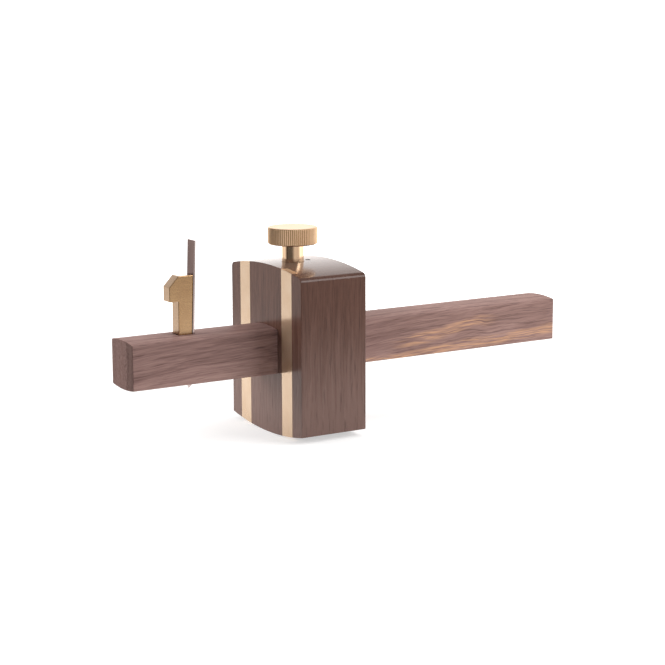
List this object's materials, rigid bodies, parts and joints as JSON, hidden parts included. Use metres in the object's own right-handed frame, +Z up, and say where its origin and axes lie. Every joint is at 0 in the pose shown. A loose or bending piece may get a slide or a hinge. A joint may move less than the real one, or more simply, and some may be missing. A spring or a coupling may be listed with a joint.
{
  "type": "cutting gauge",
  "caption": "Woodworker's cutting gauge: a knife wedged in a hardwood stem that slides through a crowned hardwood stock with brass wear strips and is locked by a knurled thumbscrew.",
  "frame": {"origin": "below the middle of the stem's length, in the plane of symmetry, on the surface that the stock stands on", "axes": "+X along the stem from its knife end to its plain end, +Y across the stem, away from the picture's viewer, +Z up along the thumbscrew"},
  "size_m": [0.216, 0.0604, 0.0881],
  "materials": {
    "stock_rosewood": "dark rosewood, polished to a gloss",
    "stem_rosewood": "rosewood, polished to a satin gloss, grain along the stem",
    "brass": "polished",
    "blade_steel": "ground"
  },
  "bodies": {
    "stock": {"stock": "stock_rosewood", "front_wear_strip": "brass", "rear_wear_strip": "brass", "clamp_nut": "brass", "nut_pin": "blade_steel"},
    "stem": {"stem": "stem_rosewood"},
    "wedge": {"wedge": "brass"},
    "knife": {"knife": "blade_steel"},
    "clamp_shoe": {"clamp_shoe": "brass"},
    "thumbscrew": {"thumbscrew": "brass"}
  },
  "joints": [
    {"name": "stem_slide", "type": "slide", "parent": "stock", "child": "stem", "axis": [1, 0, 0], "range_m": [-0.115, 0.034]},
    {"name": "wedge_lift", "type": "slide", "parent": "stem", "child": "wedge", "axis": [0, 0, 1], "range_m": [0, 0.024]},
    {"name": "knife_slide", "type": "slide", "parent": "stem", "child": "knife", "axis": [0.0349, 0, 0.9994], "range_m": [-0.004, 0.025]},
    {"name": "shoe_travel", "type": "slide", "parent": "stock", "child": "clamp_shoe", "axis": [0, 0, 1], "range_m": [0, 0.0032]},
    {"name": "screw_turn", "type": "hinge", "parent": "clamp_shoe", "child": "thumbscrew", "pos_m": [-0.02685, 0, 0.0732], "axis": [0, 0, 1], "range_deg": [0, 720.5]}
  ],
  "couplings": [
    {"joint": "screw_turn", "follows": "shoe_travel", "rad_per_m": 3927}
  ]
}
